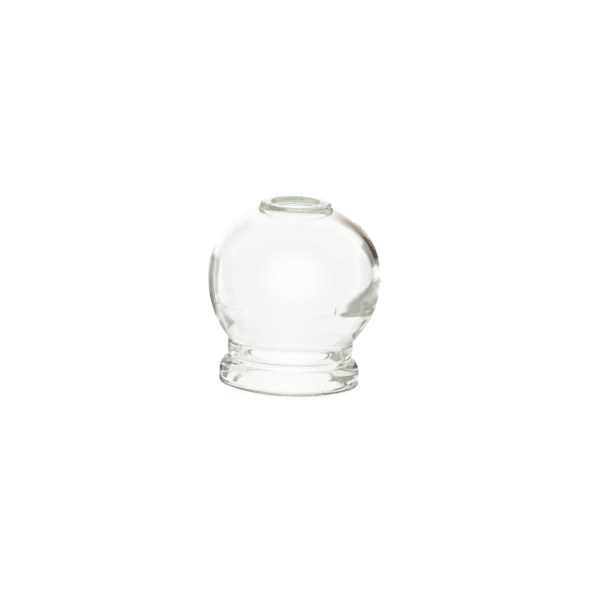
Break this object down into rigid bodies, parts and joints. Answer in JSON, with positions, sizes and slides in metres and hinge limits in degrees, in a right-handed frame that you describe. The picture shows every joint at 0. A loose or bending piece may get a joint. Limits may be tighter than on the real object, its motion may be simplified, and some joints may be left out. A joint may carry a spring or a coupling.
{
  "type": "glass fire cupping cup",
  "caption": "Clear pressed-glass fire cupping cup: a round bulb on a short neck with a thick rolled lip at the mouth, and a raised foot ring on the crown.",
  "frame": {"origin": "centre of the mouth, at the height where the lip rests", "axes": "+Z along the cup's own axis, from the mouth up to the foot ring on the crown; X and Y are equivalent"},
  "size_m": [0.0752, 0.0752, 0.08],
  "materials": {
    "clear_glass": "clear soda-lime glass, fire-polished, with a faint green cast"
  },
  "bodies": {
    "root": {"glass_cup": "clear_glass"}
  },
  "joints": []
}
